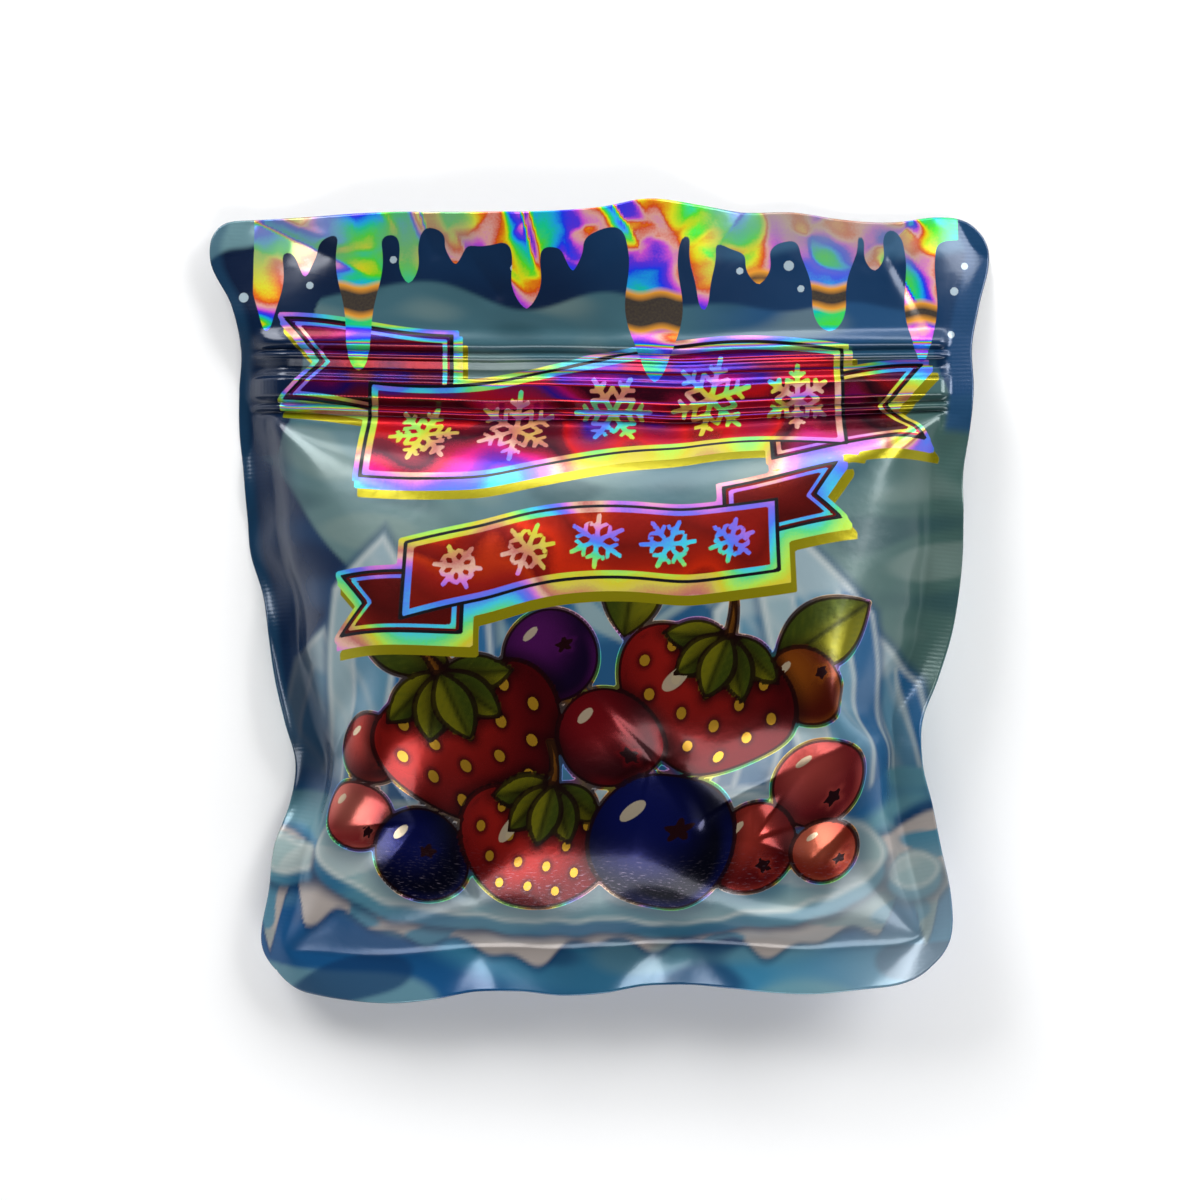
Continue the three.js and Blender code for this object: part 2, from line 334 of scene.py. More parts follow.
def groove(x0, y0, x1, y1, depth, right, left):
    """Fold line from its deep end to its faint one: each side falls evenly towards the line from
    its own reach, right and left as seen along the line."""
    length = np.hypot(x1 - x0, y1 - y0)
    along = ((px - x0) * (x1 - x0) + (py - y0) * (y1 - y0)) / length
    across = ((px - x0) * (y1 - y0) - (py - y0) * (x1 - x0)) / length
    side = np.clip(1 - abs(across) / np.where(across > 0, right, left), 0, 1)
    return -depth * side ** 1.4 * np.clip(1 - along / length, 0, 1) ** 0.7 * ease(along / 2.5 + 1)


def dimple(x0, y0, reach, depth, folds):
    """Crumpled point: a cone, the distance times a slope that runs evenly from fold to fold round
    its tip, sunk by a depth, both under the bell exp(-(distance / reach)^2)."""
    away = np.hypot(px - x0, py - y0)
    angles, slopes = np.array(folds, float).T
    slope = np.interp(np.degrees(np.arctan2(py - y0, px - x0)), angles, slopes, period=360)
    return (away * slope - depth) * np.exp(-(away / reach) ** 2)


def cloud(size, seed, flat=1.0):
    """Smooth noise of about -2 to 2: many plane waves of about one length, in all directions,
    drawn from a seed and added up. Under 1, flat draws it out along X."""
    draw = np.random.default_rng(seed)
    way, start = draw.uniform(0, 2 * np.pi, (2, 28))
    pull = 2 * np.pi / size * draw.uniform(0.5, 1.5, 28)
    return sum(np.sin(k * (flat * px * np.cos(w) + py * np.sin(w)) + s)
               for k, w, s in zip(pull, way, start)) / np.sqrt(14)


# The tapes stop short of the cut edges.
zip_relief = ribbed(ZIP_SECTION)
zip_relief *= ease((left_reach - 1.5) / 3) * ease((right_reach - 3.5) / 2)
head_folds = sum(groove(*fold) for fold in HEADER_FOLDS)
head_waves = 0.7 * np.sin(px / 6.2 + 0.6) + 0.5 * np.sin(px / 3.7 - py / 9)
head_waves += 0.12 * abs(cloud(14, 41)) - 0.03 * abs(cloud(7, 42))
head_waves *= ease((py - HEADER_FOOT) / 12)
front_folds = sum(dimple(*point) for point in DIMPLES) + sum(groove(*fold) for fold in FRONT_FOLDS)
front_folds *= ease((np.minimum(left_reach, right_reach) - SIDE_SEAL) / 5)
# The left seal is turned back from near its foot up to the zip.
turned_back = fading(left_reach, SEAL_TURN) * ease((py + 44) / 14) * ease((47 - py) / 12)
films[0, ..., 2] += zip_relief + front_folds
films[1, ..., 2] -= 0.6 * np.maximum(zip_relief, 0) - np.minimum(zip_relief, 0)
films[0, ..., 2] = np.maximum(films[0, ..., 2], films[1, ..., 2])
films[..., 2] += head_folds + head_waves - SEAL_DROP * turned_back
films[..., 2] = np.maximum(films[..., 2], 0)

# -------- printed winter ground
# The front is printed flat, before the films are sealed, so the drawing lies in the blank's own
# measures and bends with the film. White-backed airbrushed inks: a night sky, pale mist over a
# dark slope, upright ice crystals, a snow bank and blue water. Distances are in mm.
def turned(x0, y0, degrees):
    """The blank's coordinates as seen from a point, turned by an angle."""
    angle = np.radians(degrees)
    x, y = px - x0, py - y0
    return x * np.cos(angle) + y * np.sin(angle), y * np.cos(angle) - x * np.sin(angle)


def oval(x0, y0, half_width, half_height, degrees=0):
    """Distance to an ellipse: the share f of the way to its edge, times f - 1, over f's slope."""
    u, v = turned(x0, y0, degrees)
    share = np.hypot(u / half_width, v / half_height)
    slope = np.hypot(u / half_width ** 2, v / half_height ** 2)
    return share * (share - 1) / np.maximum(slope, 1e-6)


def linear(code):
    """sRGB hex colour to linear light."""
    value = np.array([int(code[i:i + 2], 16) for i in (1, 3, 5)]) / 255
    return np.where(value <= 0.04045, value / 12.92, ((value + 0.055) / 1.055) ** 2.4)


def mixed(under, over, share):
    """Colour under turned to colour over by a share at each vertex; hex codes are plain inks."""
    under, over = (linear(c) if isinstance(c, str) else c for c in (under, over))
    share = np.clip(share, 0, 1)[..., None]
    return under * (1 - share) + over * share


def cover(field, softness=0.5):
    """Share inside a field's edge, from full to none over the softness."""
    return ease(0.5 - field / softness)


def sway(*waves):
    """Sum of sine waves over the blank, each with its size, X and Y turns in radians for a mm,
    and start."""
    return sum(size * np.sin(a * px + b * py + start) for size, a, b, start in waves)


soft_cloud = cloud(26, 3)
wisp = cloud(11, 5, 0.4)
# Night sky, bluer to the right, with a paler patch in each upper corner
ground = mixed("#0f2549", "#1b4674", ease((px + 60) / 110 + 0.12 * soft_cloud))
right_cap = cover(56.5 - py + sway((1.1, 0.22, 0, 0)), 2) * ease((px - 14) / 10)
left_cap = cover(57.5 - py + 0.6 * (px + 58) + sway((1.0, 0.5, 0, 1)), 1.2) * cover(px + 48, 3)
ground = mixed(ground, "#4f7fa6", right_cap * 0.75)
ground = mixed(ground, "#86b4be", left_cap)
# Drifts of snow against the sky: X, half width, rise. The line falls off at both sides.
DRIFTS = [(-31, 10, 4.6), (4, 9, 2.2)]
snow_line = 47.6 + sum(rise * np.exp(-((px - x) / half) ** 2) for x, half, rise in DRIFTS)
snow_line += sway((0.7, 0.3, 0, 2)) - 24 * ease((-45 - px) / 7) - 15 * ease((px - 51) / 6)
# Mist below it: greener low on the right, bluer high up there, with light and dark wisps
mist = mixed("#52808e", "#86a5a2", ease((36 - py + 5 * soft_cloud) / 46))
mist = mixed(mist, "#557a74", ease((px - 30) / 24) * ease((48 - py) / 22))
mist = mixed(mist, "#2a5f92", ease((px - 8) / 22) * ease((py - 34) / 7))
mist = mixed(mist, "#9db3ab", ease((wisp - 0.3) / 1.2) * 0.45)
mist = mixed(mist, "#2c5663", ease((-0.3 - wisp) / 1.2) * 0.55)
ground = mixed(ground, mist, cover(py - snow_line, 1.0))
# Dark slope on the left, and two far peaks with snow along their ridges
slope_line = 13 - 1.05 * (px + 46) + sway((1.0, 0.1, 0.35, 0))
slope = cover(py - slope_line, 1.2) * cover(px + 24, 12)
ground = mixed(ground, mixed("#102f58", "#1c4673", ease(0.5 + 0.4 * wisp)), slope)
# Peaks: X, level of the tip, steepness
PEAKS = [(-7, 5, 0.95), (15, 2, 0.8)]
peaks = np.minimum.reduce([abs(px - x) * steepness + py - tip for x, tip, steepness in PEAKS])
ground = mixed(ground, mixed("#2a618f", "#4b86ab", ease(0.4 + 0.5 * wisp)), cover(peaks, 1.5))
ground = mixed(ground, "#aec6c4", cover(peaks + 0.5, 1.0) * ease((peaks + 4 + 1.3 * wisp) / 1.6) * 0.7)

# Upright ice crystals, each with a pale and a shaded face: foot X, foot Y, half width, height, lean
CRYSTALS = [(-49, -34, 6.6, 30, 16), (-20, -30, 6.8, 36, -5), (-35, -32, 9.0, 41, 6),
            (51, -34, 6.2, 29, -16), (21, -30, 6.4, 33, 5), (36, -32, 9.0, 41, -6)]
for foot_x, foot_y, half, tall, lean in CRYSTALS:
    u, v = turned(foot_x, foot_y, -lean)
    tip = tall - half * 1.1
    point = (v - tip) * 0.62 + abs(u + half * 0.2) * 0.78 - half * 0.7
    body = np.maximum.reduce([abs(u) - half, -v, point])
    lit, shaded = -0.45 * half - u, u - 0.35 * half
    tint = mixed("#6fa6c2", "#2f74ab", ease(shaded / 0.8))
    tint = mixed(tint, "#b9d3d6", ease(lit / 0.8) * 0.8)
    cracks = cover(abs(sway((1, 0.42, 0.3, tall))) - 0.3, 0.9) * cover(shaded, 0.8)
    tint = mixed(tint, "#dbe6e4", cracks * 0.35)
    tint = mixed(tint, "#d4e4e4", ease((v - tip + 1) / 2) * 0.6)
    tint = mixed(tint, "#235e94", ease((13 - v) / 14) * 0.7)
    inner_edges = np.maximum(np.minimum(abs(shaded), abs(lit)), v - tip)
    edges = np.minimum(abs(body + 0.6), inner_edges)
    tint = mixed(tint, "#e4edea", cover(edges - 0.35, 1.1) * 0.85)
    ground = mixed(ground, "#164a7c", cover(body - 0.9, 1.8) * 0.6)
    ground = mixed(ground, tint, cover(body, 1.2) * 0.92)

# The bank stands in blue water, over a warm grey shore with a ragged edge.
lake = mixed("#2a70a8", "#74aebd", ease((cloud(13, 23, 0.5) + 0.2) / 0.7))
ground = mixed(ground, lake, cover(py + 27 + 0.3 * np.maximum(48 - abs(px), 0) - wisp, 2))
shore_top = -44.5 + 0.003 * (px + 6) ** 2 + sway((1.3, 0.13, 0, 2.6), (0.6, 0.37, 0, 1))
shore_low = -55.5 + 0.0022 * px ** 2 + sway((1.6, 0.14, 0, 0.4), (1.2, 0.33, 0, 2), (0.9, 0.71, 0, 5))
# Spikes of its lower edge: X, half width, height
SPIKES = [(47, 3.2, 9), (51.5, 2.4, -6), (-49, 3.0, 7), (-53, 2.2, -5)]
for spike_x, half, spike in SPIKES:
    shore_low += spike * np.clip(1 - abs(px - spike_x) / half, 0, 1)
shore = np.maximum(py - shore_top, shore_low - py)
shore_tint = mixed("#d8ccc5", "#a9bcbc", ease((cloud(15, 12, 0.5) - 0.5) / 0.5))
shore_tint = mixed(shore_tint, "#5f9fbb", cover(0.9 - cloud(10, 13, 0.5), 0.3))
water = mixed("#4a9fca", "#1d66a4", ease(cloud(22, 20, 0.3) + 0.5))
water = mixed(water, "#8cc2cc", cover(0.55 - cloud(14, 21, 0.35), 0.8) * 0.7)
water = mixed(water, "#174a80", cover(0.6 - cloud(12, 22, 0.4), 0.7) * 0.8)
# Painted shade: the water darkens towards the middle of the foot, where the film faces down, away from the
# lamps.
water = mixed(water, "#1f5578", ease(1.2 - abs(px) / 22) * 0.6)
ground = mixed(ground, water, cover(py - shore_top - 2, 2))
ground = mixed(ground, "#123c70", cover(shore - 0.9, 2.2) * 0.7)
ground = mixed(ground, shore_tint, cover(shore, 1.1))

# Ice floes as thick slabs, the large one under the heap: X, Y, half width, half height
FLOES = [(49, -42.5, 5.6, 2.8), (-49.5, -41, 6.2, 3.0), (0, -39.5, 44, 11)]
for floe_x, floe_y, wide, high in FLOES:
    wave = sway((0.35, 0.3, 0.1, wide), (0.25, 0.62, 0, wide), (0.12, 1.1, 0.2, 0))
    top = oval(floe_x, floe_y, wide, high) + wave
    slab = np.minimum(top, oval(floe_x, floe_y - 1.2 - 0.12 * high, wide, high) + wave)
    face = mixed("#b4d0cf", "#7fb1bd", ease((floe_y - py) / high * 0.8 + 0.3 * wisp))
    face = mixed(face, "#dfe8e4", cover(0.8 - cloud(9, 8, 0.3), 0.4) * 0.6)
    side = mixed("#5d9cb4", "#3b7ea6", ease(0.5 + 0.4 * wisp))
    ground = mixed(ground, "#0f3663", cover(slab - 1.1, 2.4) * ease((floe_y - py) / 2 + 0.5) * 0.85)
    ground = mixed(ground, side, cover(slab, 1.1))
    face = mixed(face, "#e6eeea", cover(abs(top + 0.6) - 0.35, 1.1) * 0.8)
    ground = mixed(ground, face, cover(top, 1.1))
# Darker down the left: partly the print's own navy and partly painted shade where the film is
# turned back and faces away from the lamps, with a paler rim; lighter at the lower right, and a
# blue strip up the right side.
left_painted_shade = ease((11 - left_reach) / 5) * ease((py + 37) / 10) * cover(py - 46, 6)
left_rim = ease((2.6 - left_reach) / 1.6) * ease((py + 30) / 10)
right_strip = ease((4.6 - right_reach) / 1.0) * ease((py - 26) / 2)
# Painted shade over the turned-back left seal, on top of the print's own navy.
ground = mixed(ground, "#0c2c52", left_painted_shade * 0.85)
ground = mixed(ground, "#2a5f86", left_rim * 0.5)
ground = mixed(ground, "#bccfd2", ease((px - 26) / 22) * ease((-37 - py) / 6) * 0.45)
ground = mixed(ground, "#24578a", right_strip * 0.85)

# The grey metal under the inks takes a part of their light.
INK_STRENGTH = 0.54
ground *= INK_STRENGTH

# Snow dots: X, Y, radius
DOTS = [(-57.8, 49, 0.8), (-53.4, 51.6, 0.62), (-53.2, 48.4, 0.6), (-50.2, 45.2, 0.6), (-47, 51, 0.62),
        (-44.6, 44.8, 0.66), (-33.5, 55.2, 0.6), (-14, 53.8, 0.6), (22.5, 53.6, 0.6), (30.5, 54.4, 0.85),
        (39.5, 52.2, 0.6), (32.4, 50.6, 0.6), (57.5, 50.2, 0.7), (59.3, 54.4, 0.6), (56.8, 43, 0.6)]
snow_dots = np.minimum.reduce([np.hypot(px - x, py - y) - radius for x, y, radius in DOTS])

# -------- printed fruit
# A heap of strawberries, currants and other small fruit on the bank. Its see-through inks lie
# straight on the foil, so they are dark and deep and flash where a facet turns to the light.
FAR = 9.0
OUTLINE = 0.34


def leaf(x0, y0, length, width, degrees, light="#a9a31d", dark="#56661a"):
    """Pointed oval with a mid rib: half width times one minus the square of the way along."""
    u, v = turned(x0, y0, degrees)
    way = (u / length) * 2 - 1
    field = (abs(v) - width / 2 * (1 - way ** 2)) * 0.85
    field = np.where(abs(way) > 1, np.hypot(u - length * (way > 0), v), field)
    colour = mixed(light, dark, ease(v / width * 2 + 0.5))
    veins = abs(np.sin((u - abs(v) * 1.1) * 2.1)) * 0.7
    colour = mixed(colour, "#7a8420", cover(veins - 0.15, 0.5) * 0.5)
    return field, mixed(colour, "#31350c", cover(abs(v) - 0.25, 0.9)), FAR, FAR, FAR


def ball(x0, y0, radius, light, dark, eye):
    """Round fruit: light falls off with the distance from a point up and to the left of its
    middle, with a bounce of it low on the right and a lobed, dried flower end."""
    fall = np.hypot(px - x0 + 0.3 * radius, py - y0 - 0.35 * radius) / radius
    colour = mixed(light, dark, ease((fall - 0.15) / 0.95))
    bounce = 1 - abs(np.hypot(px - x0 - 0.1 * radius, py - y0 + 0.1 * radius) / radius - 0.84) / 0.2
    colour = mixed(colour, light, ease(bounce) * ease((px - x0 - py + y0) / radius) * 0.6)
    u, v = turned(x0 + eye[0] * radius, y0 + eye[1] * radius, eye[2])
    socket = np.hypot(u, 1.4 * v) - radius * (0.17 + 0.06 * np.cos(5 * np.arctan2(1.4 * v, u)))
    colour = mixed(colour, light, cover(socket - 0.5, 1.2) * 0.6)
    shine = oval(x0 - 0.42 * radius, y0 + 0.45 * radius, 0.2 * radius, 0.085 * radius, 42)
    return oval(x0, y0, radius, radius * 0.97), colour, shine, socket, FAR


def strawberry(x0, y0, size, degrees):
    """Heart-like body, its radius by angle full at the shoulders and drawn out to the tip, with
    seeds in crossed rows; then its sepals and its stalk."""
    u, v = turned(x0, y0, degrees)
    angle = np.arctan2(u, -v)
    girth = 1 + 0.16 * np.cos(angle) - 0.13 * np.cos(2 * angle) + 0.07 * np.cos(3 * angle)
    field = (np.hypot(u, v) - size * girth) * 0.93
    fall = np.hypot(u + 0.35 * size, v - 0.3 * size) / size
    colour = mixed("#dc2a22", "#6c0912", ease((fall - 0.25) / 1.1))
    pitch = size * 0.42
    row = np.round(v / pitch * 1.15)
    seed_u = (u / pitch - row / 2 - np.round(u / pitch - row / 2)) * pitch
    seeds = np.hypot(seed_u * 1.35, v - row * pitch / 1.15) - 0.08 * size
    seeds = np.maximum(seeds, field + 0.14 * size)
    colour = mixed(colour, "#3f060c", cover(seeds - 0.5, 1.2) * 0.8)
    sine, cosine = np.sin(np.radians(degrees)), np.cos(np.radians(degrees))
    top_x, top_y = x0 - 0.78 * size * sine, y0 + 0.78 * size * cosine
    sepals = [leaf(top_x, top_y, 0.85 * size, 0.44 * size, degrees + spread)
              for spread in (-158, -22, -122, -58, -90)]
    stem_u, stem_v = turned(top_x, top_y, degrees + 8)
    stalk = abs(stem_u + 0.03 * stem_v ** 2) - 0.75 + 0.06 * stem_v
    stalk = np.maximum(stalk, abs(stem_v - 0.3 * size) - 0.3 * size)
    shine = oval(x0 - 0.42 * size * cosine, y0 + 0.2 * size, 0.09 * size, 0.24 * size, degrees - 22)
    wood = mixed("#a5651d", "#5f3310", ease(stem_u + 0.5))
    return [(field, colour, shine, FAR, seeds), *sepals, (stalk, wood, FAR, FAR, FAR)]


# Each fruit lies over the ones before it.
heap = [leaf(-21, -12, 18, 9, 150),
        leaf(25, -12, 19, 9.5, 32),
        leaf(4, -7, 15, 8.5, 80),
        ball(-6.8, -9.5, 7.0, "#74207e", "#240a3c", (0.3, 0.2, 30)),
        ball(29, -14.5, 5.6, "#c4661a", "#74200f", (0.5, 0.3, 50)),
        ball(-33, -23.5, 5.6, "#d23a2c", "#6e1014", (0.3, -0.35, 20)),
        *strawberry(15, -14.5, 11.2, -28),
        *strawberry(-19, -20.5, 12.2, 24),
        ball(-36, -34, 5.4, "#ff8878", "#c03a3c", (0.25, -0.45, 80)),
        ball(0.8, -21.5, 7.4, "#a3131f", "#4c0714", (0.35, -0.35, -40)),
        ball(30.5, -28.5, 6.6, "#f06058", "#a02830", (0.4, -0.3, 60)),
        ball(-26.5, -39.5, 7.2, "#111a6c", "#050828", (0.15, 0.1, 10)),
        *strawberry(-9, -36, 10.4, -14),
        ball(22.5, -38, 6.8, "#e04a3c", "#84141a", (0.3, -0.4, -30)),
        ball(9, -36.5, 10.6, "#131d74", "#040620", (0.2, 0.25, 20)),
        ball(33.5, -38.5, 5.0, "#f87a58", "#b63424", (0.5, -0.2, 40))]
fruit, ink_lines, glints, eyes, seeds = (np.full_like(px, FAR) for _ in range(5))
fruit_colour = np.zeros(px.shape + (3,))
for field, colour, shine, eye, seed in heap:
    # A soft shade falls round each one on what lies under it.
    fruit_colour = mixed(fruit_colour, "#190409", fading(field, 2.4) * 0.6)
    fruit_colour = np.where((field < 0.1)[..., None], colour, fruit_colour)
    ink_lines = np.minimum(np.where(field < -OUTLINE, FAR, ink_lines), abs(field) - OUTLINE)
    glints, eyes, seeds = (np.where(field < 0, mark, old)
                           for mark, old in ((shine, glints), (eye, eyes), (seed, seeds)))
    fruit = np.minimum(fruit, field)
fruit_colour *= INK_STRENGTH
ground = mixed(ground, "#12324f", fading(fruit, 4.5) * ease((-py - 20) / 14) * 0.6)

# -------- printed foil ornament
# Bare holographic foil shows in an icicle fringe along the top edge, and through clear magenta
# and red inks in two waving ribbons with snow stars, which have a black line, a foil rim, a
# pale foil halo and a yellow edge.
FRINGE = 58.6
FRINGE_MIDDLE = 1.0
FRINGE_HALF = 57.3
# Each icicle is a rounded spike with wavy sides, joined to the fringe by a fillet: X, half width
# at the root, length from the top edge
ICICLES = [(-54, 2.7, 19), (-47.8, 2.0, 10), (-39, 3.4, 25), (-31, 2.0, 11), (-23.5, 1.8, 8), (-12, 3.0, 15),
           (-4.5, 1.8, 9), (8.5, 4.8, 26), (16.5, 2.0, 15), (25.5, 2.6, 11), (37, 4.2, 19), (44.5, 2.0, 9),
           (52, 2.9, 24)]
ICICLE_TOP = 62.5
FILLET = 1.6
icicles = FRINGE + sway((1.3, 0.16, 0, 0.5), (0.8, 0.43, 0, 1)) - py
for root_x, half, length in ICICLES:
    way = np.clip((ICICLE_TOP - py) / length, 0, 2)
    width = half * np.sqrt(np.clip(1 - way ** 2.2, 0, 1)) * (1 + 0.16 * np.sin(way * 9 + root_x))
    below_tip = np.hypot(px - root_x, ICICLE_TOP - length - py)
    spike = np.where(way > 1, below_tip, (abs(px - root_x) - width) * 0.96)
    overlap = np.maximum(FILLET - abs(icicles - spike), 0)
    icicles = np.minimum(icicles, spike) - overlap ** 2 / (4 * FILLET)
icicles = np.maximum(icicles, abs(px - FRINGE_MIDDLE) - FRINGE_HALF)


def ribbon(x, y, x0, x1, height, middle, notch_left=0.0, notch_right=0.0):
    """Distance to a band of even height round a waving middle line, with swallow-tail ends."""
    across = y - middle(x)
    slope = (middle(x + 0.1) - middle(x)) / 0.1
    band = (abs(across) - height / 2) / np.sqrt(1 + slope ** 2)
    share = np.clip(1 - abs(across) / (height / 2), 0, 1)
    left_end, right_end = x0 - x + notch_left * share, x - x1 + notch_right * share
    return np.maximum.reduce([band, left_end * 0.8, right_end * 0.8])


def upper_middle(x):
    """Level of the upper ribbon's middle line: a slope and one sine wave."""
    return 30.4 + 0.05 * x + 2.4 * np.sin(x / 13.5 + 0.3)


def lower_middle(x):
    """Level of the lower ribbon's middle line: a slope and one sine wave."""
    return 6.4 + 0.13 * x + 1.5 * np.sin(x / 10.5 + 2.2)


def ribbons(x, y):
    """Tails and front panel, first of the upper ribbon, then of the lower one."""
    upper_left = ribbon(x, y, -51, -24, 13, lambda s: 38.6 + 0.02 * s + 1.6 * np.sin(s / 9 + 1.0), 6, 0)
    upper_right = ribbon(x, y, 27, 52, 13, lambda s: 27.2 + 0.06 * s + 1.5 * np.sin(s / 9 + 2.6), 0, 6)
    lower_left = ribbon(x, y, -39, -20, 9, lambda s: 1.8 + 0.12 * s + np.sin(s / 7 + 0.6), 4, 0)
    lower_right = ribbon(x, y, 19, 37, 9, lambda s: 11.2 + 0.10 * s + np.sin(s / 7 + 2.0), 0, 4)
    return (np.minimum(upper_left, upper_right), ribbon(x, y, -37, 39, 17, upper_middle),
            np.minimum(lower_left, lower_right), ribbon(x, y, -29, 27, 11.5, lower_middle))


def star(x0, y0, radius, degrees, half, barbs):
    """Snow star: six arms with pairs of side barbs (root, length), folded onto one by symmetry.
    Each bar is the distance to a line from the arm, less its half width."""
    u, v = turned(x0, y0, degrees)
    reach, angle = np.hypot(u, v), np.arctan2(v, u)
    angle = abs((angle + np.pi / 6) % (np.pi / 3) - np.pi / 6)
    u, v = reach * np.cos(angle), reach * np.sin(angle)
    field = np.hypot(u - np.clip(u, 0, radius), v) - half
    for root, barb in barbs:
        along = np.clip((u - root * radius) * 0.5 + v * 0.866, 0, barb * radius)
        field = np.minimum(field, np.hypot(u - root * radius - 0.5 * along, v - 0.866 * along) - half * 0.85)
    return field


upper_tails, upper_panel, lower_tails, lower_panel = ribbons(px, py)
tails, panel = np.minimum(upper_tails, lower_tails), np.minimum(upper_panel, lower_panel)
lower_share = cover(np.minimum(lower_tails, lower_panel) - np.minimum(upper_tails, upper_panel), 0.8)
# The halo and the yellow edge are the ribbons once more, shifted to the right and down.
halo = np.minimum(np.minimum.reduce(ribbons(px - 0.5, py + 1.1)) - 1.0, np.minimum(panel, tails) - 0.9)
shade = np.minimum.reduce(ribbons(px - 1.2, py + 2.5)) - 1.1
LARGE_STARS = [(-28, 5.2, 8), (-13.5, 6.3, 24), (2, 5.8, 2), (17.5, 6.3, 15), (31.5, 5.2, 28)]
SMALL_STARS = [(-21, 3.4, -4), (-10.5, 4.0, 10), (0, 4.2, 26), (10.5, 4.0, 6), (20, 3.4, 18)]
LARGE_BARBS = ((0.38, 0.36), (0.66, 0.24))
SMALL_BARBS = ((0.5, 0.34),)
stars = np.minimum.reduce(
    [star(x, upper_middle(x), radius, degrees, 0.4, LARGE_BARBS) for x, radius, degrees in LARGE_STARS]
    + [star(x, lower_middle(x), radius, degrees, 0.36, SMALL_BARBS) for x, radius, degrees in SMALL_STARS])

# -------- mesh
# Both films as one closed skin, a film's thickness outside the settled sheets: the front at its
# full resolution, the back at half of it, stitched along the cut edge. The print goes along as
# point attributes, so the material can cut every shape off sharply.
FILM = 0.12
facing = outward(films)
front = films[0] + facing[0] * FILM
back = (films[1] + facing[1] * FILM)[::2, ::2]
lowest = min(front[..., 2].min(), back[..., 2].min())
front[..., 2] -= lowest
back[..., 2] -= lowest


def edge_loop(grid_rows, grid_columns):
    """Grid numbers once round the edge, against the clock from the lower left corner."""
    number = np.arange(grid_rows * grid_columns).reshape(grid_rows, grid_columns)
    return np.concatenate([number[0, :-1], number[:-1, -1], number[-1, :0:-1], number[:0:-1, 0]])


def cells(grid_rows, grid_columns, start, turned_over):
    """Four-sided faces between the grid's vertices."""
    number = np.arange(grid_rows * grid_columns).reshape(grid_rows, grid_columns) + start
    quads = np.stack([number[:-1, :-1], number[:-1, 1:], number[1:, 1:], number[1:, :-1]], -1).reshape(-1, 4)
    return quads[:, ::-1] if turned_over else quads


back_start = rows * columns
quads = np.concatenate([cells(rows, columns, 0, False), cells(*back.shape[:2], back_start, True)])
fine_edge = edge_loop(rows, columns)
coarse_edge = edge_loop(*back.shape[:2]) + back_start
start, between, end = fine_edge[::2], fine_edge[1::2], np.roll(fine_edge[::2], -1)
under, next_under = coarse_edge, np.roll(coarse_edge, -1)
band = np.concatenate([np.stack([under, between, start], -1), np.stack([under, next_under, between], -1),
                       np.stack([next_under, end, between], -1)])

mesh = bpy.data.meshes.new("pouch_film")
points = np.concatenate([front.reshape(-1, 3), back.reshape(-1, 3)]) * MM
mesh.from_pydata(points.tolist(), [], quads.tolist() + band.tolist())
mesh.polygons.foreach_set("use_smooth", np.ones(len(mesh.polygons), bool))
mesh.update()
pouch_film = bpy.data.objects.new("pouch_film", mesh)
bpy.context.scene.collection.objects.link(pouch_film)


def store(name, on_front, on_back=FAR):
    """Point attribute over both films; three values for a vertex are a colour or a place."""
    wide = on_front.ndim == 3
    back_values = np.broadcast_to(on_back, back.shape if wide else back.shape[:2])
    values = np.concatenate([on_front.ravel(), back_values.ravel()])
    attribute = mesh.attributes.new(name, "FLOAT_VECTOR" if wide else "FLOAT", "POINT")
    attribute.data.foreach_set("vector" if wide else "value", values.astype(np.float32))


# The back is printed plain, deep blue at the header, greener over the belly and blue at the foot.
back_level = py[::2, ::2, None]
back_ground = linear("#16345c") + (linear("#3c7488") - linear("#16345c")) * ease((44 - back_level) / 40)
back_ground = back_ground + (linear("#235a8f") - back_ground) * ease((-20 - back_level) / 30)
blank_points = np.dstack([px, py, np.zeros_like(px)])
edge_distance = np.minimum(left_reach, right_reach)
store("blank", blank_points, blank_points[::2, ::2])
store("edge_distance", edge_distance, edge_distance[::2, ::2])
store("ground", ground, back_ground)
store("fruit_colour", fruit_colour, 0.0)
print_fields = {"fruit": fruit, "ink_lines": ink_lines, "glints": glints, "eyes": eyes, "seeds": seeds,
                "snow_dots": snow_dots, "icicles": icicles, "tails": tails, "panel": panel, "halo": halo,
                "shade": shade, "stars": stars, "lower_share": lower_share}
for name, field in print_fields.items():
    store(name, field)

# Painted reflection: where the foil's grating sends its colours is worked out here once and painted
# into the colour, fixed on the film. The phase turns with the film's tilt, and with the place on
# the film, because the lamp stands close.
STEEP = 0.3
tilt_right, tilt_up = np.tanh(facing[0, ..., 0] / STEEP), np.tanh(facing[0, ..., 1] / STEEP)
phase = 0.52 + 0.2 * np.sin(px / 9.5 + 0.5) + 0.12 * np.sin(px / 4.1 + 2) + (py - 56) / 30
phase += 0.42 * tilt_right + 0.66 * tilt_up + 0.07 * cloud(12, 31)
# Dull bands across the long icicles: X, level, half height
DULL_BANDS = [(-39, 48.6, 2.2), (8.5, 47.2, 2.8), (25.5, 52.2, 0.9), (37, 49.2, 1.6), (52, 46.5, 1.3)]
dull = np.minimum.reduce([np.maximum(abs(py - level + sway((0.35, 0.9, 0, x))) - half, abs(px - x) - 6)
                          for x, level, half in DULL_BANDS])
store("phase", phase, 0.0)
store("dull", dull)
wash = ease(0.25 + 0.6 * np.sin(px / 13 - 1.2) + 0.3 * cloud(15, 33)) * ease((py - 49) / 8)
store("wash", 0.6 * wash, 0.0)

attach(pouch_film, "root")
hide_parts("pouch")
